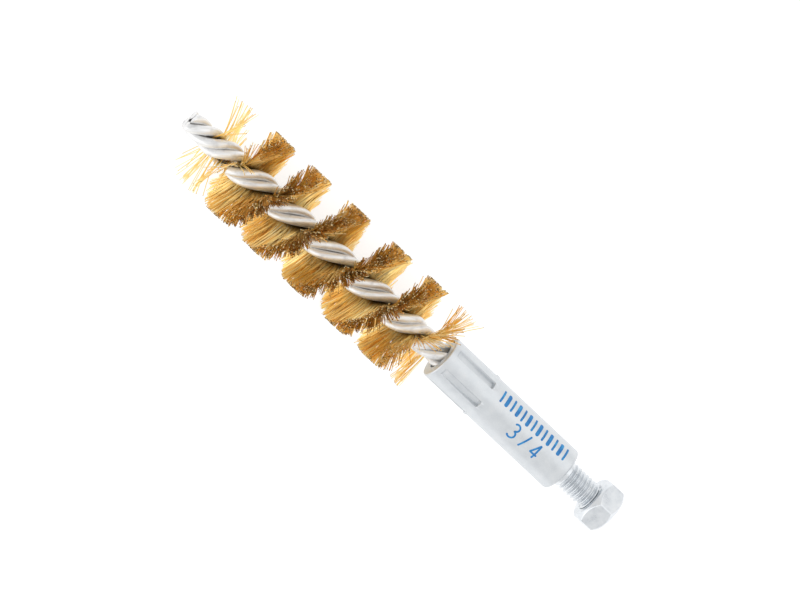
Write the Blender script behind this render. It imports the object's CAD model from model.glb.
import math

import bmesh
import bpy
import numpy as np
from mathutils import Matrix, Vector


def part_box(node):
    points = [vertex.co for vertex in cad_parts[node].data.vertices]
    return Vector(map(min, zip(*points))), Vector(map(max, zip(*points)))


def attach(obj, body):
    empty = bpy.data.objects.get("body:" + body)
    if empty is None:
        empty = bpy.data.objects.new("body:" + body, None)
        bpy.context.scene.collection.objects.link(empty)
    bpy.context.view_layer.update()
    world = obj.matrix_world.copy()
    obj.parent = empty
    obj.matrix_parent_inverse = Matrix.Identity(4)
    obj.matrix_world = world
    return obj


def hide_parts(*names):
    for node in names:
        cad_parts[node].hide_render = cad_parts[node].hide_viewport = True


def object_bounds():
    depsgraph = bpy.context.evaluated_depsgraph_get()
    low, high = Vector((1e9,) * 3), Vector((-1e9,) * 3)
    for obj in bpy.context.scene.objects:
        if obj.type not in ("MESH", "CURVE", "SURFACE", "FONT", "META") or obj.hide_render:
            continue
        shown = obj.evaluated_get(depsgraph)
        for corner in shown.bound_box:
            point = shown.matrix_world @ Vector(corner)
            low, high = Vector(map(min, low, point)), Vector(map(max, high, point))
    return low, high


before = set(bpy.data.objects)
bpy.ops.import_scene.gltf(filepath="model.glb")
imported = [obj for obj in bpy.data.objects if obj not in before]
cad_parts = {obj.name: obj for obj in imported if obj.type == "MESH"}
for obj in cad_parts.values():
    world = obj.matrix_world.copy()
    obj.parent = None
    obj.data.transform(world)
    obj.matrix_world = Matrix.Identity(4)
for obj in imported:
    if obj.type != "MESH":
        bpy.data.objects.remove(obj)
cad_low, cad_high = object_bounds()

MM = 0.001
TAU = 2 * math.pi
SEED = 34

# ---------------------------------------------------------------- dimensions shared with the CAD part
FERRULE_RADIUS = 5.0
FERRULE_LENGTH = 35.0
STEM_BORE_RADIUS = 2.9
STUD_RADIUS = 3.0
STUD_INSERTED = 13.0
STUD_EXPOSED = 13.5
STUD_END_CHAMFER = 0.8
NECK_LENGTH = 0.9
THREAD_PITCH = 1.0
THREAD_DEPTH = 0.6
NUT_APOTHEM = 5.0
NUT_THICKNESS = 5.2
NUT_FACE_RADIUS = 4.6
NUT_CORNER_ANGLE = 87.0
CRIMP_COUNT = 6
CRIMP_FIRST_ANGLE = 52.0
CRIMP_START = 1.4
CRIMP_LENGTH = 10.0
CRIMP_WIDTH = 1.5
CRIMP_SHALLOW = 0.3
CRIMP_DEEP = 0.8
BURR_LENGTH = 1.2
BURR_HEIGHT = 0.25
BRUSH_RADIUS = 10.3
# lengths of the twist's half turns, from the bare tip to the ferrule
HALF_TURNS = [7.6, 9.1, 10.4, 11.2, 11.8, 10.4, 8.2]
STEM_EXPOSED = 72.6
TIP_TO_FIRST_CROSSING = 1.6
# the gap between the two pairs of wires, and the half turns between which it opens and closes
PAIR_GAP = 1.2
GAP_OPENS = (0.2, 1.2)
GAP_CLOSES = (6.2, 7.3)
# rows of filaments, each of so many half turns
ROW_COUNT = 13
ROW_HALF_TURNS = 0.5
ROWS_START = 0.5

MOUTH = -FERRULE_LENGTH

# ---------------------------------------------------------------- the wires' looks
# The spacing grows by the loosening where the filaments push the two pairs apart.
WIRE_RADIUS = 1.04
WIRE_SPACING = 2.17
WIRE_LOOSENING = 0.16
WIRE_SIDES = 28
WIRE_RINGS = 420
# where each wire lies in the stem: its side along the sheet of filaments, and the side of the sheet it is on
WIRE_PLACES = ((1, 1), (-1, 1), (-1, -1), (1, -1))
# slow changes of thickness: share of the radius, millimetres for each radian, and phase from wire to wire
WIRE_WAVES = ((0.012, 3.1, 1.0), (0.008, 1.27, 2.0))
# the sheared end: how far each wire stops short of the stem's end, its burr, and how soon the shear dies out
CUT_SETBACK = (0.85, 1.0, 1.1, 0.95)
CUT_BURR = 0.12
CUT_FADE = 2.6
CUT_RIM_SHARE = 0.98
CUT_HOLLOW = 0.06
# rings of the cut face: share of its size, and how much deeper than the hollow each lies
CUT_FACE = ((0.25, 0.02), (0.60, 0.0), (0.84, -0.02), (0.92, -0.03))

# ---------------------------------------------------------------- the filaments' looks
FILAMENT_RADIUS = 0.082
FILAMENT_SIDES = 5
# distances from the axis of the points along half a filament, and where its free part starts
RING_RADII = np.array([0.0, 1.2, 2.2, 3.4, 4.8, 6.3, 7.8, 9.2, 10.45])
CLAMP_RADIUS = 2.2
# the straying grows with this power of the distance from there
BEND_POWER = 1.25
# how many stand on each millimetre of the stem, in the dense part and at its two sparse ends
FILAMENTS_PER_MM = 84.0
SPARSE_AT_TIP = 7.5
SPARSE_AT_MOUTH = 13.0
# along X: where the first ones stand, and where the dense part fades in and out
SPARSE_START = -100.9
DENSE_START = (-93.0, -91.7)
DENSE_END = (-43.8, -41.6)
# filaments cling together in strands; a strand strays along X in millimetres and round the stem in degrees
STRAND_SIZE = 3
STRAND_SPREAD = 1.5
STRAND_ANGLE = 2.4
# extra straying of strands along X, by where they point: +Y (less at -Y), +Z (less at -Z), and either Y
UPPER_SHARE = 0.15
FRONT_SHARE = 0.30
SIDE_SHARE = 0.65
# how far every filament leans along X for each millimetre of Z
COMBED = 0.08
# straying of single filaments in their strand
HAIR_SPREAD = 0.30
HAIR_ANGLE = 1.3
# what is added in the sparse ends of the spiral, where nothing holds the filaments upright
LOOSE_SPREAD = 1.0
LOOSE_ANGLE = 3.5
LOOSE_HAIR_SPREAD = 0.25
LOOSE_HAIR_ANGLE = 1.5
LOOSE_TONE = 0.05
# how far the sparse filaments that point to +Y lean away from the dense part, at the tip and at the ferrule
TIP_LEAN = 1.5
MOUTH_LEAN = 1.2
# trimming: the usual scatter, and the few filaments that are shorter
TRIM_SCATTER = 0.010
SHORT_SHARE = 0.05
SHORT_BY = (0.02, 0.14)
# the sheet of filaments between the wires: how much thinner it is than their gap, and its least thickness
SHEET_CLEARANCE = 0.2
SHEET_THINNEST = 0.15
# each filament's tone, from reddish at 0 to pale at 1
TONE_MIDDLE = 0.55
TONE_SCATTER = 0.24

# ---------------------------------------------------------------- the looks of the ferrule
FERRULE_COLUMNS = 360
FERRULE_EDGE = 0.4
MOUTH_ROUND = 0.25
SHOULDER_ROUND = 0.5
STUD_BORE_RADIUS = STUD_RADIUS + 0.02
STUD_BORE_CHAMFER = 0.08
# rings along the sleeve: fine as far as the crimps reach, then coarse, and coarse along the bore
CRIMP_ZONE = 14.0
CRIMP_STEP = 0.1
PLAIN_RINGS = 30
BORE_RINGS = 12
BORE_INSET = 0.3
# what changes from crimp to crimp, as shares of its length, its width and its burr's height
CRIMP_LENGTHS = (0.985, 1.015)
CRIMP_WIDTHS = (0.95, 1.08)
BURR_HEIGHTS = (0.8, 1.0)
# soft edges: where each starts and ends, measured from the crimp's side, its start and its end
CRIMP_SIDE_EDGE = (-0.10, 0.14)
CRIMP_START_EDGE = (-0.1, 0.35)
CRIMP_END_EDGE = (-0.10, 0.10)
BURR_RISE = (-0.05, 0.22)
BURR_FALL = (0.35, BURR_LENGTH)
# distances round the ferrule at which the burr's soft side starts and ends
BURR_SIDE = (0.35 * CRIMP_WIDTH, 0.62 * CRIMP_WIDTH)
# the dent beside each crimp: degrees round from it, depth, width, length, and how far before its end
DENT_ANGLES = (20.0, 34.0)
DENT_DEPTHS = (0.09, 0.17)
DENT_WIDTH = 0.85
DENT_LENGTH = 1.3
DENT_BEFORE_END = 0.2

# ---------------------------------------------------------------- the looks of the stud and the nut
STUD_COLUMNS = 144
SHANK_RINGS = 8
# rings along the thread: how far apart, and how far the first and last keep from the stud's ends
THREAD_STEP = 0.045
THREAD_INSET = (0.04, 0.01)
THREAD_RUN_OUT = 0.5
# shares of half a pitch, from the crest, where the thread's flank starts and ends
THREAD_FLANK = (0.04, 0.96)
# the stud's end: the depth of its turned hollow, and its rings as shares of the end's radius
STUD_HOLLOW = 0.06
STUD_END_RINGS = (0.96, 0.7, 0.4, 0.12)
NUT_COLUMNS = 360
# the higher this power, the sharper the nut's six corners
NUT_CORNER_POWER = 90
NUT_CHAMFER_LENGTH = 1.3
NUT_CHAMFER_RINGS = 27
NUT_CHAMFER_BLEND = 0.10
NUT_SIDE_INSET = 1.4
NUT_SIDE_RINGS = 12
NUT_THREAD_CLEARANCE = 0.03
NUT_BORE_STEP = 0.06
NUT_BORE_INSET = (0.04, 0.05)
COUNTERSINK_RADIUS = STUD_RADIUS + 0.25
# rings of the nut's two faces, from the chamfer to the countersink
NUT_FACE_RINGS = (NUT_FACE_RADIUS - 0.06, 4.1, 3.6, COUNTERSINK_RADIUS + 0.04)

# fine lines in the zinc, so many to the metre along X, Y and Z
STUD_LINES = (4200.0, 300.0, 300.0)
NUT_LINES = (500.0, 3600.0, 3600.0)

# ---------------------------------------------------------------- the print
# how deep the ink reaches into the ferrule and how far it stands out, and the look of its strokes
INK_SUNK = 0.02
INK_RAISED = 0.012
STROKE_WIDTH = 0.42
STROKE_STEP = 0.06
STROKE_END_SHARE = 0.08
ARC_POINTS = 24
# centres are measured along the ferrule from its mouth, angles round it
BARS_CENTRE = 23.3
BARS_LENGTH = 19.4
BARS_HEIGHT = 3.1
BARS_ANGLE = 55.0
BAR_COUNT = 13
BAR_WIDTHS = (0.5, 0.85)
SIZE_CENTRE = 23.8
SIZE_ANGLE = 100.0

# ---------------------------------------------------------------- floor, light and camera
# The floor, the lamps and the camera's distance are in metres, the camera's target in millimetres.
FLOOR_HALF_SIZE = 2.5
FLOOR_DROP = 0.0002
FLOOR_GLOW = 0.70
# strength of the surroundings at the sides and straight above, and the heights between which it changes
WORLD_SIDES = 0.90
WORLD_ABOVE = 0.96
WORLD_CHANGE = (0.35, 1.0)
# lamps: name, direction, distance, size, watts
LAMPS = (("key", (-0.45, -0.85, 0.45), 0.9, 0.85, 1.9),
         ("fill", (0.25, 0.60, 0.85), 1.0, 1.0, 1.3))
TILT = math.radians(15.0)
ROLL = math.radians(43.27)
CAMERA_TARGET = (-49.2, 2.66, 0.0)
CAMERA_DISTANCE = 2.4
CAMERA_RANGE = (0.05, 20.0)
LENS = 534.6
SENSOR_WIDTH = 36.0


def smooth_step(start, end, value):
    """0 before the start, 1 past the end, and a smooth rise between them."""
    share = np.clip((value - start) / (end - start), 0.0, 1.0)
    return share * share * (3.0 - 2.0 * share)


# ---------------------------------------------------------------- the twist of the stem
# the x at which each half turn starts, and the last one's end
CROSSINGS = np.concatenate([[0.0], np.cumsum(HALF_TURNS)]) + MOUTH - STEM_EXPOSED + TIP_TO_FIRST_CROSSING


def stem_x(turn):
    """The x reached after this many half turns; the twist runs on past the first and last crossing."""
    index = np.clip(np.floor(turn).astype(int), 0, len(HALF_TURNS) - 1)
    return CROSSINGS[index] + (turn - index) * np.array(HALF_TURNS)[index]


def stem_turn(x):
    """The half turns made at this x, the inverse of stem_x."""
    index = np.clip(np.searchsorted(CROSSINGS, x, side="right") - 1, 0, len(HALF_TURNS) - 1)
    return index + (x - CROSSINGS[index]) / np.array(HALF_TURNS)[index]


def sheet_angle(turn):
    """The direction in radians in which the filaments point at this turn."""
    return math.pi * (len(HALF_TURNS) - turn)


def pair_gap(turn):
    """The gap between the two pairs of wires, filled by the filaments."""
    return PAIR_GAP * smooth_step(*GAP_OPENS, turn) * (1.0 - smooth_step(*GAP_CLOSES, turn))


# ---------------------------------------------------------------- mesh helpers
def grid_faces(rings, columns, closed=False):
    """Quads between rings of points; closed also joins the last ring to the first."""
    ring = np.arange(rings if closed else rings - 1)[:, None]
    column = np.arange(columns)[None, :]
    following = (ring + 1) % rings
    right = (column + 1) % columns
    quads = np.stack([ring * columns + column, ring * columns + right,
                      following * columns + right, following * columns + column], axis=-1)
    return quads.reshape(-1, 4).tolist()


def end_caps(count, columns):
    """The two faces that close a tube of rings of so many columns, count points in all."""
    return [list(range(columns)), list(range(count - columns, count))]


def make_piece(name, points, faces, material, body, replaced=None, sharp_angle=40.0):
    """A closed mesh piece from points in millimetres, which rides on a body."""
    mesh = bpy.data.meshes.new(name)
    mesh.from_pydata((np.asarray(points) * MM).tolist(), [], faces)
    mesh.validate()
    mesh.shade_smooth()
    mesh.set_sharp_from_angle(angle=math.radians(sharp_angle))
    mesh.materials.append(material)
    piece = bpy.data.objects.new(name, mesh)
    bpy.context.scene.collection.objects.link(piece)
    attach(piece, body)
    if replaced:
        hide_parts(replaced)
    return piece


def fix_normals(piece):
    """Turns every face of a closed mesh outwards."""
    mesh = bmesh.new()
    mesh.from_mesh(piece.data)
    bmesh.ops.recalc_face_normals(mesh, faces=mesh.faces)
    mesh.to_mesh(piece.data)
    mesh.free()


def add_attribute(piece, name, kind, values):
    """A value for each point of the mesh, for the material to read."""
    attribute = piece.data.attributes.new(name, kind, "POINT")
    field = "vector" if kind == "FLOAT_VECTOR" else "value"
    attribute.data.foreach_set(field, np.asarray(values, np.float32).ravel())


def polar_points(x, radius, angle):
    """Points from arrays of x, distance from the stem's axis and angle round it."""
    x, radius, angle = np.broadcast_arrays(x, radius, angle)
    return np.stack([x, radius * np.cos(angle), radius * np.sin(angle)], axis=-1)


# ---------------------------------------------------------------- material helpers
# numbers of a Mix node's sockets when it mixes colours
MIX_SHARE, MIX_FIRST, MIX_SECOND = 0, 6, 7
MIX_RESULT = 2


class Nodes:
    """A small writer of shader nodes for one material."""

    def __init__(self, name):
        self.material = bpy.data.materials.new(name)
        self.material.use_nodes = True
        self.tree = self.material.node_tree
        self.shader = self.tree.nodes["Principled BSDF"]
        self.object_coordinates = None

    def add(self, kind, **settings):
        node = self.tree.nodes.new(kind)
        for key, value in settings.items():
            setattr(node, key, value)
        return node

    def link(self, output, socket):
        self.tree.links.new(output, socket)

    def coordinates(self):
        if self.object_coordinates is None:
            self.object_coordinates = self.add("ShaderNodeTexCoord").outputs["Object"]
        return self.object_coordinates

    def attribute(self, name, output="Fac"):
        return self.add("ShaderNodeAttribute", attribute_name=name).outputs[output]

    def scaled(self, vector, scale):
        """The coordinates stretched by three factors, in features per metre."""
        node = self.add("ShaderNodeMapping")
        self.link(vector, node.inputs["Vector"])
        node.inputs["Scale"].default_value = scale
        return node.outputs["Vector"]

    def noise(self, vector, scale=1.0, detail=3.0, roughness=0.55):
        node = self.add("ShaderNodeTexNoise")
        self.link(vector, node.inputs["Vector"])
        node.inputs["Scale"].default_value = scale
        node.inputs["Detail"].default_value = detail
        node.inputs["Roughness"].default_value = roughness
        return node.outputs["Fac"]

    def ramp(self, value, stops):
        """A colour ramp; each stop is a place from 0 to 1 and a colour."""
        node = self.add("ShaderNodeValToRGB")
        elements = node.color_ramp.elements
        while len(elements) < len(stops):
            elements.new(0.5)
        for element, (place, colour) in zip(elements, stops):
            element.position = place
            element.color = (*colour, 1.0)
        self.link(value, node.inputs["Fac"])
        return node.outputs["Color"]

    def remap(self, value, low, high, start=0.0, end=1.0):
        """The value moved from the range start..end to low..high."""
        node = self.add("ShaderNodeMapRange")
        self.link(value, node.inputs["Value"])
        node.inputs["From Min"].default_value = start
        node.inputs["From Max"].default_value = end
        node.inputs["To Min"].default_value = low
        node.inputs["To Max"].default_value = high
        return node.outputs["Result"]

    def math(self, operation, first, second):
        node = self.add("ShaderNodeMath", operation=operation)
        for socket, value in zip(node.inputs, (first, second)):
            if isinstance(value, (int, float)):
                socket.default_value = value
            else:
                self.link(value, socket)
        return node.outputs[0]

    def mix(self, share, colour, tint):
        """The colour output mixed with a plain tint by the share."""
        node = self.add("ShaderNodeMix", data_type="RGBA")
        self.link(share, node.inputs[MIX_SHARE])
        self.link(colour, node.inputs[MIX_FIRST])
        node.inputs[MIX_SECOND].default_value = (*tint, 1.0)
        return node.outputs[MIX_RESULT]

    def bump(self, height, depth_mm, strength):
        node = self.add("ShaderNodeBump")
        node.inputs["Strength"].default_value = strength
        node.inputs["Distance"].default_value = depth_mm * MM
        self.link(height, node.inputs["Height"])
        self.link(node.outputs["Normal"], self.shader.inputs["Normal"])

    def finish(self, colour, roughness, metallic=1.0):
        self.link(colour, self.shader.inputs["Base Color"])
        self.link(roughness, self.shader.inputs["Roughness"])
        self.shader.inputs["Metallic"].default_value = metallic
        return self.material


# ---------------------------------------------------------------- materials
def ferrule_material():
    """Satin aluminium: cool grey, softly mottled, with faint drawing lines along the sleeve."""
    nodes = Nodes("satin_aluminium")
    mottle = nodes.noise(nodes.coordinates(), scale=420.0, detail=5.0, roughness=0.6)
    grain = nodes.noise(nodes.coordinates(), scale=5200.0, detail=3.0)
    lines = nodes.noise(nodes.scaled(nodes.coordinates(), (260.0, 5200.0, 5200.0)), detail=2.0)
    colour = nodes.ramp(mottle, [(0.30, (0.60, 0.625, 0.65)),
                                 (0.52, (0.655, 0.68, 0.70)),
                                 (0.72, (0.70, 0.715, 0.73))])
    colour = nodes.mix(nodes.remap(grain, 0.0, 0.35, 0.35, 0.75), colour, (0.52, 0.55, 0.58))
    texture = nodes.math("ADD", nodes.math("MULTIPLY", grain, 0.6), nodes.math("MULTIPLY", lines, 0.4))
    nodes.bump(texture, 0.006, 0.5)
    return nodes.finish(colour, nodes.remap(mottle, 0.38, 0.48, 0.3, 0.7), metallic=0.8)


def zinc_material(name, line_scale):
    """Bright zinc plating: pale and faintly blue, with tiny pits and fine lines."""
    nodes = Nodes(name)
    cloud = nodes.noise(nodes.coordinates(), scale=520.0, detail=4.0)
    speck = nodes.noise(nodes.coordinates(), scale=6400.0, detail=2.0)
    lines = nodes.noise(nodes.scaled(nodes.coordinates(), line_scale), detail=2.0)
    colour = nodes.ramp(cloud, [(0.30, (0.62, 0.65, 0.68)),
                                (0.55, (0.72, 0.745, 0.77)),
                                (0.75, (0.77, 0.785, 0.80))])
    colour = nodes.mix(nodes.remap(speck, 0.0, 0.4, 0.62, 0.8), colour, (0.50, 0.53, 0.56))
    nodes.bump(nodes.math("ADD", lines, speck), 0.003, 0.5)
    return nodes.finish(colour, nodes.remap(cloud, 0.26, 0.36, 0.3, 0.7))


def wire_material():
    """Galvanised steel wire: pale grey, with draw marks, dull spots and grime in the grooves."""
    nodes = Nodes("galvanised_wire")
    straightened = nodes.attribute("straightened", "Vector")
    streaks = nodes.noise(nodes.scaled(straightened, (2600.0, 2600.0, 90.0)), detail=3.0)
    spots = nodes.noise(straightened, scale=700.0, detail=4.0)
    pits = nodes.noise(straightened, scale=4200.0, detail=2.0)
    colour = nodes.ramp(streaks, [(0.30, (0.70, 0.70, 0.70)),
                                  (0.50, (0.80, 0.80, 0.80)),
                                  (0.70, (0.86, 0.86, 0.86))])
    colour = nodes.mix(nodes.remap(spots, 0.0, 0.5, 0.52, 0.72), colour, (0.48, 0.48, 0.49))
    grime = nodes.remap(nodes.attribute("outward"), 0.84, 0.0, -0.42, 0.10)
    colour = nodes.mix(grime, colour, (0.13, 0.11, 0.10))
    nodes.bump(nodes.math("ADD", streaks, nodes.math("MULTIPLY", pits, 0.5)), 0.012, 0.5)
    return nodes.finish(colour, nodes.remap(spots, 0.37, 0.50, 0.3, 0.7), metallic=0.8)


def brass_material():
    """Brass filaments, each of its own tone: tarnished at the root, dark at the cut end, some worn bright."""
    nodes = Nodes("brass_filament")
    own_tone = nodes.attribute("own_tone")
    reach = nodes.attribute("reach")
    buried = nodes.attribute("buried")
    cloud = nodes.noise(nodes.coordinates(), scale=260.0, detail=3.0)
    tone = nodes.math("ADD", nodes.math("MULTIPLY", own_tone, 0.75), nodes.math("MULTIPLY", cloud, 0.25))
    colour = nodes.ramp(tone, [(0.05, (0.86, 0.43, 0.09)),
                               (0.35, (1.0, 0.63, 0.18)),
                               (0.65, (1.0, 0.77, 0.31)),
                               (0.95, (1.0, 0.92, 0.57))])
    colour = nodes.mix(nodes.remap(buried, 0.0, 0.92, 0.44, 0.95), colour, (0.08, 0.025, 0.005))
    colour = nodes.mix(nodes.remap(reach, 0.0, 0.95, 1.001, 1.011), colour, (0.06, 0.017, 0.003))
    pale_one = nodes.remap(own_tone, 0.0, 1.0, 0.66, 0.74)
    near_tip = nodes.remap(reach, 0.0, 0.95, 0.970, 0.990)
    colour = nodes.mix(nodes.math("MULTIPLY", pale_one, near_tip), colour, (1.0, 0.84, 0.50))
    return nodes.finish(colour, nodes.remap(cloud, 0.32, 0.46, 0.3, 0.7))


def ink_material():
    """Blue printing ink, thin and a little uneven."""
    nodes = Nodes("blue_ink")
    cloud = nodes.noise(nodes.coordinates(), scale=900.0, detail=4.0)
    colour = nodes.ramp(cloud, [(0.30, (0.004, 0.13, 0.40)),
                                (0.55, (0.010, 0.20, 0.50)),
                                (0.75, (0.04, 0.32, 0.62))])
    nodes.bump(cloud, 0.01, 0.4)
    return nodes.finish(colour, nodes.remap(cloud, 0.30, 0.45, 0.3, 0.7), metallic=0.0)


# ---------------------------------------------------------------- the four stem wires
def wire_path(side, pair, start, end):
    """Centre points of one wire, from the x of its cut end to the x where it ends inside the ferrule."""
    x = np.linspace(start, end, WIRE_RINGS)
    turn = stem_turn(x)
    angle = sheet_angle(turn)
    gap = pair_gap(turn)
    spacing = WIRE_SPACING + WIRE_LOOSENING * gap / PAIR_GAP
    along = side * spacing / 2
    across = pair * (spacing + gap) / 2
    return np.stack([x, along * np.cos(angle) - across * np.sin(angle),
                     along * np.sin(angle) + across * np.cos(angle)], axis=-1)


def ring_frames(path):
    """Unit vectors of a path beside the X axis: along it, outwards from the axis, and the third way."""
    tangent = np.gradient(path, axis=0)
    tangent /= np.linalg.norm(tangent, axis=1)[:, None]
    outward = path * np.array([0.0, 1.0, 1.0])
    outward -= (outward * tangent).sum(axis=1)[:, None] * tangent
    outward /= np.linalg.norm(outward, axis=1)[:, None]
    return tangent, outward, np.cross(tangent, outward)


def stem_wire(number, side, pair, rng, material):
    """One wire; its bare end is sheared square across the stem, so that the cut face is an ellipse."""
    node = f"stem_wire_{number}"
    start = MOUTH - STEM_EXPOSED + CUT_SETBACK[number - 1]
    path = wire_path(side, pair, start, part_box(node)[1].x / MM)
    tangent, outward, third = ring_frames(path)
    length = np.concatenate([[0.0], np.cumsum(np.linalg.norm(np.diff(path, axis=0), axis=1))])
    round_angle = np.linspace(0.0, TAU, WIRE_SIDES, endpoint=False)
    radius = np.full(WIRE_RINGS, WIRE_RADIUS)
    for height, stretch, phase in WIRE_WAVES:
        radius += WIRE_RADIUS * height * np.sin(length / stretch + phase * number)
    cosine = np.cos(round_angle)[None, :, None]
    sine = np.sin(round_angle)[None, :, None]
    across = outward[:, None, :] * cosine + third[:, None, :] * sine
    rings = path[:, None, :] + radius[:, None, None] * across

    # the cut end: the rings are slid along the wire to one plane; the rim is rounded and has a small burr
    to_cut = (start - rings[0, :, 0]) / tangent[0, 0]
    fade = 1.0 - np.clip(length / CUT_FADE, 0.0, 1.0)
    rings += (fade[:, None] * to_cut[None, :])[:, :, None] * tangent[:, None, :]
    middle = rings[0].mean(axis=0)
    burr = CUT_BURR * np.clip(np.cos(round_angle - rng.uniform(0.0, TAU)), 0.0, 1.0) ** 2
    rings[0] = middle + CUT_RIM_SHARE * (rings[0] - middle)
    rings[0, :, 0] -= burr
    face_rings = []
    for share, sunk in CUT_FACE:
        ring = middle + share * (rings[0] - middle)
        ring[:, 0] = start + CUT_HOLLOW + sunk
        face_rings.append(ring)
    all_rings = np.concatenate([np.array(face_rings), rings])
    points = all_rings.reshape(-1, 3)
    faces = grid_faces(len(all_rings), WIRE_SIDES) + end_caps(len(points), WIRE_SIDES)
    piece = make_piece(f"twisted_wire_{number}", points, faces, material, "brush", node,
                       sharp_angle=50.0)
    fix_normals(piece)

    # for the material: coordinates as if the wire were straight, and how far each point faces outwards
    round_x = np.cos(round_angle) * WIRE_RADIUS * MM
    round_y = np.sin(round_angle) * WIRE_RADIUS * MM
    ring_length = np.concatenate([np.zeros(len(face_rings)), length]) * MM + number
    straightened = np.broadcast_arrays(round_x[None, :], round_y[None, :], ring_length[:, None])
    add_attribute(piece, "straightened", "FLOAT_VECTOR", np.stack(straightened, axis=-1))
    outward_share = np.tile(np.cos(round_angle), (len(all_rings), 1))
    outward_share[:len(face_rings) + 1] = 1.0
    add_attribute(piece, "outward", "FLOAT", outward_share)


# ---------------------------------------------------------------- the brass filaments
def root_places(rng):
    """The x of every filament where it crosses the stem's axis: dense in the middle, sparse at both ends."""
    low, high = stem_x(np.array([ROWS_START, ROWS_START + ROW_COUNT * ROW_HALF_TURNS]))
    count = int((high - low) * FILAMENTS_PER_MM)
    x = rng.uniform(low, high, count)
    dense = smooth_step(*DENSE_START, x) * (1.0 - smooth_step(*DENSE_END, x))
    sparse = np.where(x < DENSE_START[1], SPARSE_AT_TIP, SPARSE_AT_MOUTH) / FILAMENTS_PER_MM
    kept = rng.uniform(0.0, 1.0, count) < dense + (1.0 - dense) * sparse
    kept &= x > SPARSE_START
    order = np.argsort(x[kept])
    return x[kept][order], dense[kept][order]


def filament_sides(x, dense, side, rng):
    """Centre lines of one half of every filament, from the axis to its trimmed tip."""
    count = len(x)
    turn = stem_turn(x)
    root_angle = sheet_angle(turn) + (0.0 if side > 0 else math.pi)

    # neighbours share a strand, which strays as one; each filament strays a little by itself
    strand = np.cumsum(rng.uniform(0.0, 1.0, count) < 1.0 / STRAND_SIZE)
    strands = strand.max() + 1
    loose = 1.0 - dense
    upward = np.maximum(np.cos(root_angle), 0.0)
    spread_x = (STRAND_SPREAD + LOOSE_SPREAD * loose) * rng.uniform(-1.0, 1.0, strands)[strand]
    spread_x *= (1.0 + UPPER_SHARE * np.cos(root_angle) + FRONT_SHARE * np.sin(root_angle)
                 + SIDE_SHARE * dense * np.cos(root_angle) ** 2)
    spread_x += (HAIR_SPREAD + LOOSE_HAIR_SPREAD * loose) * rng.normal(0.0, 1.0, count)
    spread_x += np.where(x < DENSE_START[1], -TIP_LEAN, MOUTH_LEAN) * upward * loose
    spread_angle = (STRAND_ANGLE + LOOSE_ANGLE * loose) * rng.normal(0.0, 1.0, strands)[strand]
    spread_angle += (HAIR_ANGLE + LOOSE_HAIR_ANGLE * loose) * rng.normal(0.0, 1.0, count)

    # the tips are cut a little short of the full radius, and a few of them well short
    trim = 1.0 - np.abs(rng.normal(0.0, TRIM_SCATTER, count))
    short = rng.uniform(0.0, 1.0, count) < SHORT_SHARE
    trim = np.where(short, trim - rng.uniform(*SHORT_BY, count), trim)
    radius = RING_RADII[None, :] * trim[:, None]

    # the wires hold the filaments straight as far as the clamp, and the straying grows from there to the tip
    reach = np.clip((radius - CLAMP_RADIUS) / (BRUSH_RADIUS - CLAMP_RADIUS), 0.0, 1.0)
    bend = reach ** BEND_POWER
    sheet = np.maximum(pair_gap(turn) - SHEET_CLEARANCE, SHEET_THINNEST)
    offset = side * (rng.uniform(-0.5, 0.5, count) * sheet)[:, None]
    angle = root_angle[:, None] + np.radians(spread_angle)[:, None] * bend
    y = radius * np.cos(angle) - offset * np.sin(angle)
    z = radius * np.sin(angle) + offset * np.cos(angle)
    along_x = x[:, None] + spread_x[:, None] * bend - COMBED * z
    return np.stack([along_x, y, z], axis=-1)


def filament_mesh(paths):
    """Thin round rods along the paths, an array of filaments by points; returns points and faces."""
    count, steps, _ = paths.shape
    tangent = np.gradient(paths, axis=1)
    first = np.cross(tangent, np.array([1.0, 0.0, 0.0]))
    first /= np.linalg.norm(first, axis=2)[:, :, None]
    second = np.cross(tangent, first)
    second /= np.linalg.norm(second, axis=2)[:, :, None]
    angle = np.linspace(0.0, TAU, FILAMENT_SIDES, endpoint=False)[None, None, :, None]
    across = first[:, :, None, :] * np.cos(angle) + second[:, :, None, :] * np.sin(angle)
    rings = paths[:, :, None, :] + FILAMENT_RADIUS * across
    single = np.array(grid_faces(steps, FILAMENT_SIDES))
    per_filament = steps * FILAMENT_SIDES
    start = (np.arange(count) * per_filament)[:, None, None]
    faces = (single[None, :, :] + start).reshape(-1, 4).tolist()
    near_cap = np.arange(FILAMENT_SIDES)[None, ::-1] + start[:, :, 0]
    far_cap = np.arange(per_filament - FILAMENT_SIDES, per_filament)[None, :] + start[:, :, 0]
    return rings.reshape(-1, 3), faces + near_cap.tolist() + far_cap.tolist()


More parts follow.
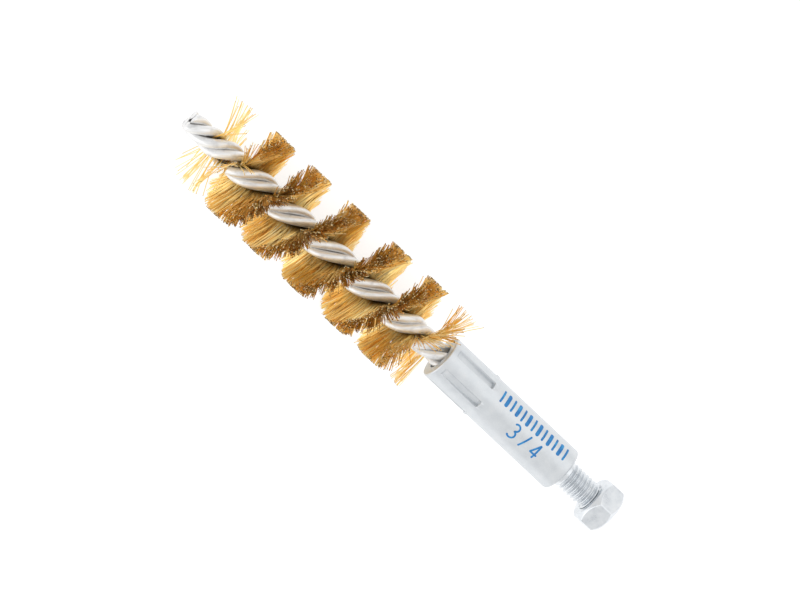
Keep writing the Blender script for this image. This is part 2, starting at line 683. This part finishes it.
def bristle_rows(rng, material):
    """Every quarter turn of filaments as one piece."""
    x, dense = root_places(rng)
    one_side = filament_sides(x, dense, 1, rng)
    other_side = filament_sides(x, dense, -1, rng)
    axis_points = (one_side[:, :1] + other_side[:, :1]) / 2
    paths = np.concatenate([other_side[:, :0:-1], axis_points, one_side[:, 1:]], axis=1)
    reach = np.concatenate([RING_RADII[:0:-1], RING_RADII]) / BRUSH_RADIUS
    row = np.clip(((stem_turn(x) - ROWS_START) / ROW_HALF_TURNS).astype(int), 0, ROW_COUNT - 1)
    tone = rng.normal(TONE_MIDDLE, TONE_SCATTER, len(x)) + LOOSE_TONE * (1.0 - dense)
    tone = np.clip(tone, 0.0, 1.0)
    per_filament = len(reach) * FILAMENT_SIDES
    for index in range(ROW_COUNT):
        chosen = row == index
        points, faces = filament_mesh(paths[chosen])
        piece = make_piece(f"brass_filaments_{index + 1:02d}", points, faces, material, "brush",
                           f"bristle_row_{index + 1:02d}", sharp_angle=60.0)
        reached = np.tile(np.repeat(reach, FILAMENT_SIDES), chosen.sum())
        add_attribute(piece, "own_tone", "FLOAT", np.repeat(tone[chosen], per_filament))
        add_attribute(piece, "reach", "FLOAT", reached)
        add_attribute(piece, "buried", "FLOAT", (1.0 - reached) * np.repeat(dense[chosen], per_filament))


# ---------------------------------------------------------------- the crimped ferrule
def soft_edge(value, place, edge):
    """A smooth rise from 0 to 1 between two distances past the place."""
    return smooth_step(place + edge[0], place + edge[1], value)


def distance_around(angle, centre):
    """How far round the sleeve each angle is from the centre, to either side of it."""
    return ((angle - centre + math.pi) % TAU - math.pi) * FERRULE_RADIUS


def crimp_offset(along, angle, rng):
    """How far the sleeve's surface is pressed in, or raised by a burr, at each place of its outer surface."""
    offset = np.zeros(np.broadcast(along, angle).shape)
    for number in range(CRIMP_COUNT):
        centre = math.radians(CRIMP_FIRST_ANGLE + number * 360.0 / CRIMP_COUNT)
        around = distance_around(angle, centre)
        end = CRIMP_START + CRIMP_LENGTH * rng.uniform(*CRIMP_LENGTHS)
        half_width = CRIMP_WIDTH / 2 * rng.uniform(*CRIMP_WIDTHS)
        across = 1.0 - soft_edge(np.abs(around), half_width, CRIMP_SIDE_EDGE)
        share = np.clip((along - CRIMP_START) / (end - CRIMP_START), 0.0, 1.0)
        floor = CRIMP_SHALLOW + (CRIMP_DEEP - CRIMP_SHALLOW) * share
        lengthwise = soft_edge(along, CRIMP_START, CRIMP_START_EDGE)
        lengthwise *= 1.0 - soft_edge(along, end, CRIMP_END_EDGE)
        offset -= floor * across * lengthwise
        burr_across = 1.0 - smooth_step(*BURR_SIDE, np.abs(around))
        burr_along = soft_edge(along, end, BURR_RISE)
        burr_along *= 1.0 - soft_edge(along, end, BURR_FALL)
        offset += BURR_HEIGHT * rng.uniform(*BURR_HEIGHTS) * burr_across * burr_along
        dent_around = distance_around(angle, centre + math.radians(rng.uniform(*DENT_ANGLES)))
        dent_along = along - end + DENT_BEFORE_END
        dent = np.exp(-(dent_around / DENT_WIDTH) ** 2 - (dent_along / DENT_LENGTH) ** 2)
        offset -= rng.uniform(*DENT_DEPTHS) * dent
    return offset


def rounded_corner(centre_x, centre_r, radius, start, end, steps):
    """Points x, r of a rounded corner between two directions in degrees, measured from +X to outwards."""
    angles = np.radians(np.linspace(start, end, steps))
    return [(centre_x + radius * math.cos(a), centre_r + radius * math.sin(a)) for a in angles]


def ferrule(rng, material):
    """The sleeve: a closed shell of rings, with the crimps pressed in its outer surface."""
    outer = FERRULE_RADIUS
    crimp_x = np.arange(MOUTH + FERRULE_EDGE, MOUTH + CRIMP_ZONE, CRIMP_STEP)
    plain_x = np.linspace(MOUTH + CRIMP_ZONE, -SHOULDER_ROUND, PLAIN_RINGS)
    bore_x = np.linspace(-STUD_INSERTED - BORE_INSET, MOUTH + BORE_INSET, BORE_RINGS)
    profile = [(x, STEM_BORE_RADIUS) for x in bore_x]
    profile += rounded_corner(MOUTH + MOUTH_ROUND, STEM_BORE_RADIUS + MOUTH_ROUND, MOUTH_ROUND,
                              270.0, 180.0, 6)
    profile += rounded_corner(MOUTH + FERRULE_EDGE, outer - FERRULE_EDGE, FERRULE_EDGE,
                              180.0, 95.0, 9)
    first_outer = len(profile)
    profile += [(x, outer) for x in np.concatenate([crimp_x, plain_x])]
    last_outer = len(profile)
    profile += rounded_corner(-SHOULDER_ROUND, outer - SHOULDER_ROUND, SHOULDER_ROUND,
                              80.0, 0.0, 8)
    profile += [(0.0, STUD_BORE_RADIUS + STUD_BORE_CHAMFER), (-STUD_BORE_CHAMFER, STUD_BORE_RADIUS)]
    profile += [(-STUD_INSERTED, STUD_BORE_RADIUS)]
    profile = np.array(profile)
    angle = np.linspace(0.0, TAU, FERRULE_COLUMNS, endpoint=False)
    radius = np.repeat(profile[:, 1:2], FERRULE_COLUMNS, axis=1)
    along = profile[first_outer:last_outer, 0:1] - MOUTH
    radius[first_outer:last_outer] += crimp_offset(along, angle[None, :], rng)
    points = polar_points(profile[:, 0:1], radius, angle[None, :])
    faces = grid_faces(len(profile), FERRULE_COLUMNS, closed=True)
    piece = make_piece("crimped_ferrule", points.reshape(-1, 3), faces, material, "brush",
                       "ferrule", sharp_angle=35.0)
    fix_normals(piece)


# ---------------------------------------------------------------- the threaded stud and its nut
def thread_depth(x, angle):
    """How far the right-handed thread lies inside its full radius at each place."""
    phase = ((x - NECK_LENGTH) / THREAD_PITCH - angle / TAU) % 1.0
    from_crest = 2.0 * np.abs((phase + 0.5) % 1.0 - 0.5)
    return THREAD_DEPTH * smooth_step(*THREAD_FLANK, from_crest)


def threaded_stud(material):
    """The stud: a plain neck, the thread and its run-out, and a chamfered end with a shallow hollow."""
    angle = np.linspace(0.0, TAU, STUD_COLUMNS, endpoint=False)[None, :]
    shank_x = np.linspace(-STUD_INSERTED, 0.0, SHANK_RINGS)
    thread_x = np.arange(THREAD_INSET[0], STUD_EXPOSED - THREAD_INSET[1], THREAD_STEP)
    x = np.concatenate([shank_x, thread_x, [STUD_EXPOSED]])[:, None]
    run_in = smooth_step(NECK_LENGTH, NECK_LENGTH + THREAD_RUN_OUT, x)
    end_radius = STUD_RADIUS - STUD_END_CHAMFER
    radius = np.minimum(STUD_RADIUS - thread_depth(x, angle) * run_in, end_radius + (STUD_EXPOSED - x))
    end_rings = [polar_points(STUD_EXPOSED - STUD_HOLLOW * (1.0 - share) ** 0.5, end_radius * share, angle)
                 for share in STUD_END_RINGS]
    rings = np.concatenate([polar_points(x, radius, angle), *end_rings])
    points = rings.reshape(-1, 3)
    faces = grid_faces(len(rings), STUD_COLUMNS) + end_caps(len(points), STUD_COLUMNS)
    piece = make_piece("m6_stud", points, faces, material, "brush", "threaded_stud",
                       sharp_angle=50.0)
    fix_normals(piece)


def smooth_minimum(first, second, width):
    """The smaller of two values, with the corner between them rounded over the width."""
    blend = np.clip(0.5 + 0.5 * (second - first) / width, 0.0, 1.0)
    return second * (1.0 - blend) + first * blend - width * blend * (1.0 - blend)


def hexagon_radius(angle):
    """The distance from the centre to the nut's side faces, with slightly rounded corners."""
    corner = math.radians(NUT_CORNER_ANGLE)
    flats = corner + math.radians(30.0) + np.radians(60.0) * np.arange(6)
    facing = np.maximum(np.cos(angle[..., None] - flats), 0.0)
    return NUT_APOTHEM / (facing ** NUT_CORNER_POWER).sum(axis=-1) ** (1.0 / NUT_CORNER_POWER)


def jam_nut(material):
    """The hexagon nut: chamfered on both faces, with an internal thread that fits the stud."""
    angle = (np.linspace(0.0, TAU, NUT_COLUMNS, endpoint=False) + math.radians(NUT_CORNER_ANGLE))[None, :]
    far = STUD_EXPOSED
    near = far - NUT_THICKNESS
    chamfer_x = np.linspace(0.0, NUT_CHAMFER_LENGTH, NUT_CHAMFER_RINGS)
    side_x = np.linspace(near + NUT_SIDE_INSET, far - NUT_SIDE_INSET, NUT_SIDE_RINGS)
    outer_x = np.concatenate([near + chamfer_x, side_x, far - chamfer_x[::-1]])[:, None]
    from_face = np.minimum(outer_x - near, far - outer_x)
    outer_radius = smooth_minimum(hexagon_radius(angle), NUT_FACE_RADIUS + from_face, NUT_CHAMFER_BLEND)
    bore_x = np.arange(far - NUT_BORE_INSET[1], near + NUT_BORE_INSET[0], -NUT_BORE_STEP)[:, None]
    from_face = np.minimum(bore_x - near, far - bore_x)
    bore_radius = STUD_RADIUS + NUT_THREAD_CLEARANCE - thread_depth(bore_x, angle)
    bore_radius = np.maximum(bore_radius, COUNTERSINK_RADIUS - from_face)
    far_rings = [polar_points(far, radius, angle) for radius in NUT_FACE_RINGS]
    near_rings = [polar_points(near, radius, angle) for radius in NUT_FACE_RINGS[::-1]]
    outer_rings = polar_points(outer_x, outer_radius, angle)
    bore_rings = polar_points(bore_x, bore_radius, angle)
    rings = np.concatenate([outer_rings, *far_rings, bore_rings, *near_rings])
    faces = grid_faces(len(rings), NUT_COLUMNS, closed=True)
    piece = make_piece("hex_jam_nut", rings.reshape(-1, 3), faces, material, "nut", "jam_nut",
                       sharp_angle=28.0)
    fix_normals(piece)


# ---------------------------------------------------------------- the print on the ferrule
def resample(points, step):
    """A polyline with its points spaced evenly."""
    points = np.array(points, float)
    lengths = np.concatenate([[0.0], np.cumsum(np.linalg.norm(np.diff(points, axis=0), axis=1))])
    count = max(2, int(lengths[-1] / step) + 1)
    places = np.linspace(0.0, lengths[-1], count)
    return np.stack([np.interp(places, lengths, points[:, i]) for i in range(2)], axis=-1)


def stroke(line, width):
    """A printed line with round ends, laid flat: left and right edges as arrays of u, v."""
    points = resample(line, STROKE_STEP)
    tangent = np.gradient(points, axis=0)
    tangent /= np.linalg.norm(tangent, axis=1)[:, None]
    normal = np.stack([-tangent[:, 1], tangent[:, 0]], axis=-1)
    length = np.linalg.norm(np.diff(points, axis=0), axis=1).sum()
    place = np.linspace(0.0, length, len(points))
    from_end = np.minimum(place, length - place)
    round_end = np.sqrt(1.0 - (1.0 - np.clip(from_end / (width / 2), 0.0, 1.0)) ** 2)
    half = width / 2 * np.maximum(round_end, STROKE_END_SHARE)[:, None]
    return points + normal * half, points - normal * half


def arc(centre_u, centre_v, radius, start, end):
    """Points u, v on an arc between two directions in degrees."""
    angles = np.radians(np.linspace(start, end, ARC_POINTS))
    return [(centre_u + radius * math.cos(a), centre_v + radius * math.sin(a)) for a in angles]


def print_piece(name, strokes, centre, centre_angle, material):
    """Flat strokes wrapped round the ferrule as thin closed layers of ink."""
    points, faces = [], []
    for line, width in strokes:
        left, right = stroke(line, width)
        rings = []
        for edge, height in ((left, INK_RAISED), (right, INK_RAISED), (right, -INK_SUNK), (left, -INK_SUNK)):
            angle = math.radians(centre_angle) - edge[:, 1] / FERRULE_RADIUS
            rings.append(polar_points(MOUTH + centre + edge[:, 0], FERRULE_RADIUS + height, angle))
        loop = np.stack(rings, axis=1)
        start = sum(len(p) for p in points)
        points.append(loop.reshape(-1, 3))
        faces += (np.array(grid_faces(len(loop), 4)) + start).tolist()
        faces += (np.array(end_caps(4 * len(loop), 4)) + start).tolist()
    piece = make_piece(name, np.concatenate(points), faces, material, "brush")
    fix_normals(piece)


def ink_bars(material):
    """A plain row of upright bars of two widths, in place of lettering."""
    strokes = []
    for number in range(BAR_COUNT):
        u = BARS_LENGTH * ((number + 0.5) / BAR_COUNT - 0.5)
        strokes.append(([(u, -BARS_HEIGHT / 2), (u, BARS_HEIGHT / 2)], BAR_WIDTHS[number % 2]))
    print_piece("ink_bars", strokes, BARS_CENTRE, BARS_ANGLE, material)


def ink_size(material):
    """The tube size, 3/4, as plain numerals, laid out in millimetres about their middle."""
    three = arc(-3.1, 0.82, 0.76, 150.0, -85.0) + arc(-3.1, -0.80, 0.86, 85.0, -150.0)
    slash = [(-0.42, -1.70), (0.62, 1.70)]
    four_side = [(3.45, 1.70), (2.25, -0.72), (4.05, -0.72)]
    four_stem = [(3.45, 1.70), (3.45, -1.72)]
    strokes = [(line, STROKE_WIDTH) for line in (three, slash, four_side, four_stem)]
    print_piece("ink_size", strokes, SIZE_CENTRE, SIZE_ANGLE, material)


# ---------------------------------------------------------------- floor, light and camera
def make_floor():
    """A plain pale floor with a faint glow of its own, so that it renders white."""
    mesh = bpy.data.meshes.new("floor")
    half = FLOOR_HALF_SIZE
    height = cad_low.z - FLOOR_DROP
    corners = [(-half, -half, height), (half, -half, height), (half, half, height), (-half, half, height)]
    mesh.from_pydata(corners, [], [(0, 1, 2, 3)])
    nodes = Nodes("pale_floor")
    cloud = nodes.noise(nodes.coordinates(), scale=3.0)
    colour = nodes.ramp(cloud, [(0.0, (0.48, 0.48, 0.48)), (1.0, (0.52, 0.52, 0.52))])
    nodes.shader.inputs["Emission Color"].default_value = (1.0, 1.0, 1.0, 1.0)
    nodes.shader.inputs["Emission Strength"].default_value = FLOOR_GLOW
    mesh.materials.append(nodes.finish(colour, nodes.remap(cloud, 0.85, 0.95), metallic=0.0))
    floor = bpy.data.objects.new("floor", mesh)
    bpy.context.scene.collection.objects.link(floor)


def make_world():
    """Soft white light from all sides, slightly stronger from above."""
    world = bpy.data.worlds.new("studio")
    world.use_nodes = True
    tree = world.node_tree
    direction = tree.nodes.new("ShaderNodeTexCoord")
    split = tree.nodes.new("ShaderNodeSeparateXYZ")
    strength = tree.nodes.new("ShaderNodeMapRange")
    strength.inputs["From Min"].default_value = WORLD_CHANGE[0]
    strength.inputs["From Max"].default_value = WORLD_CHANGE[1]
    strength.inputs["To Min"].default_value = WORLD_SIDES
    strength.inputs["To Max"].default_value = WORLD_ABOVE
    tree.links.new(direction.outputs["Generated"], split.inputs["Vector"])
    tree.links.new(split.outputs["Z"], strength.inputs["Value"])
    background = tree.nodes["Background"]
    background.inputs["Color"].default_value = (1.0, 1.0, 1.0, 1.0)
    tree.links.new(strength.outputs["Result"], background.inputs["Strength"])
    bpy.context.scene.world = world


def make_lamps():
    """Large soft lamps round the brush; the colours are rendered without a filmic curve."""
    for name, direction, distance, size, power in LAMPS:
        light = bpy.data.lights.new(name, "AREA")
        light.energy = power
        light.size = size
        direction = Vector(direction).normalized()
        lamp = bpy.data.objects.new(name, light)
        lamp.location = Vector(CAMERA_TARGET) * MM + direction * distance
        lamp.rotation_mode = "QUATERNION"
        lamp.rotation_quaternion = direction.to_track_quat("Z", "Y")
        lamp.visible_camera = False
        bpy.context.scene.collection.objects.link(lamp)
    bpy.context.scene.view_settings.view_transform = "Standard"


def make_camera():
    """The camera: above the brush and a little towards its bare tip, rolled to show it diagonally."""
    towards = Vector((-math.sin(TILT), 0.0, math.cos(TILT)))
    along = Vector((math.cos(TILT), 0.0, math.sin(TILT)))
    aside = Vector((0.0, 1.0, 0.0))
    right = math.cos(ROLL) * along + math.sin(ROLL) * aside
    up = -math.sin(ROLL) * along + math.cos(ROLL) * aside
    camera = bpy.data.objects.new("camera", bpy.data.cameras.new("camera"))
    camera.data.sensor_width = SENSOR_WIDTH
    camera.data.lens = LENS
    camera.data.clip_start, camera.data.clip_end = CAMERA_RANGE
    rotation = Matrix((right, up, towards)).transposed().to_4x4()
    place = Vector(CAMERA_TARGET) * MM + towards * CAMERA_DISTANCE
    camera.matrix_world = Matrix.Translation(place) @ rotation
    bpy.context.scene.collection.objects.link(camera)
    bpy.context.scene.camera = camera


# ---------------------------------------------------------------- build
rng = np.random.default_rng(SEED)
wire_finish = wire_material()
for number, (side, pair) in enumerate(WIRE_PLACES, start=1):
    stem_wire(number, side, pair, rng, wire_finish)
bristle_rows(rng, brass_material())
ferrule(rng, ferrule_material())
threaded_stud(zinc_material("zinc_stud", STUD_LINES))
jam_nut(zinc_material("zinc_nut", NUT_LINES))
ink = ink_material()
ink_bars(ink)
ink_size(ink)
make_floor()
make_world()
make_lamps()
make_camera()
